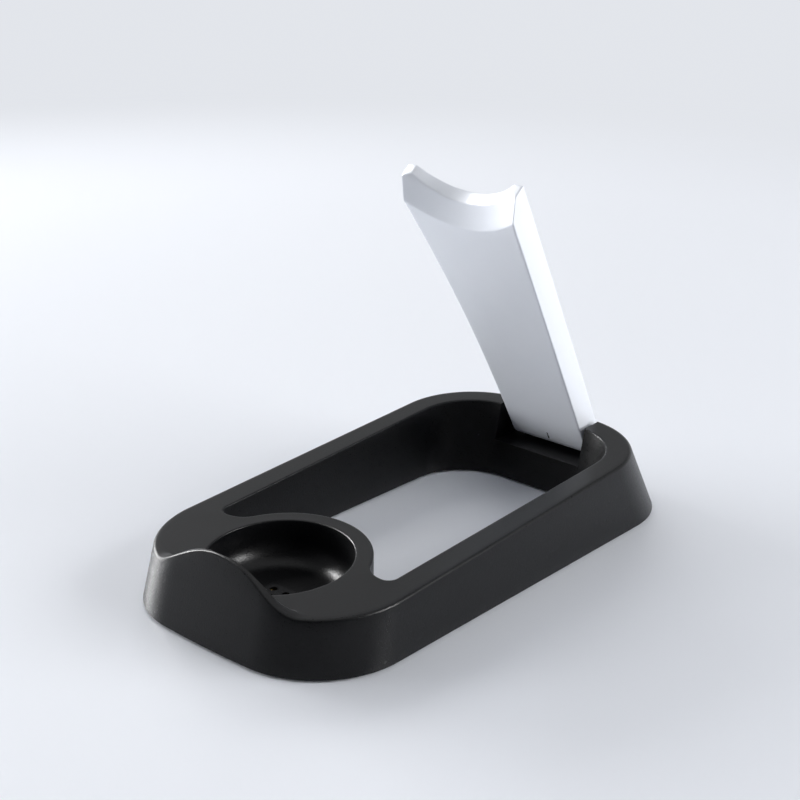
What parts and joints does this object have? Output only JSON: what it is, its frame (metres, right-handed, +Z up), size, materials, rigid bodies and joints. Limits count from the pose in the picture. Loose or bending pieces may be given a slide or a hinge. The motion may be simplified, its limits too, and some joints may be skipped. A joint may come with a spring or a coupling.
{
  "type": "shaver charging stand",
  "caption": "Ring-shaped charging stand: a cup with a contact plug at its front holds a shaver's foot, and a fold-down arm with a saddle at its rear holds the shaver upright.",
  "frame": {"origin": "centre of the base's footprint on the surface that it stands on", "axes": "+Z up; +Y from the cup's lip at the front to the arm at the rear; +X to the right seen from the front, the side of the leads"},
  "size_m": [0.088, 0.174, 0.1133],
  "materials": {
    "black_plastic": "fine spark texture",
    "plate_plastic": "fine texture",
    "silver_plastic": "satin metallic",
    "foot_rubber": "matt",
    "screw_steel": "zinc plated",
    "contact_brass": "polished",
    "bush_plastic": "black acetal",
    "washer_steel": "black oxide",
    "lead_blue": "lead insulation",
    "lead_red": "lead insulation"
  },
  "bodies": {
    "base": {"base_housing": "black_plastic", "base_plate": "plate_plastic", "foot_front_left": "foot_rubber", "foot_front_right": "foot_rubber", "foot_rear_left": "foot_rubber", "foot_rear_right": "foot_rubber", "plate_screws": "screw_steel", "connector_housing": "black_plastic", "contact_sleeve_left": "contact_brass", "contact_sleeve_right": "contact_brass", "inlet_socket": "black_plastic", "inlet_pin_left": "screw_steel", "inlet_pin_right": "screw_steel", "lead_left": "lead_blue", "lead_right": "lead_red", "hinge_bush_left": "bush_plastic", "hinge_bush_right": "bush_plastic", "friction_washer": "washer_steel"},
    "arm": {"arm_front_shell": "silver_plastic", "arm_back_cover": "silver_plastic", "cover_screws": "screw_steel", "hinge_pin_left": "screw_steel", "hinge_pin_right": "screw_steel"}
  },
  "joints": [
    {"name": "arm_fold", "type": "hinge", "parent": "base", "child": "arm", "pos_m": [0, 0.0732, 0.0172], "axis": [1, 0, 0], "range_deg": [0, 62]}
  ]
}
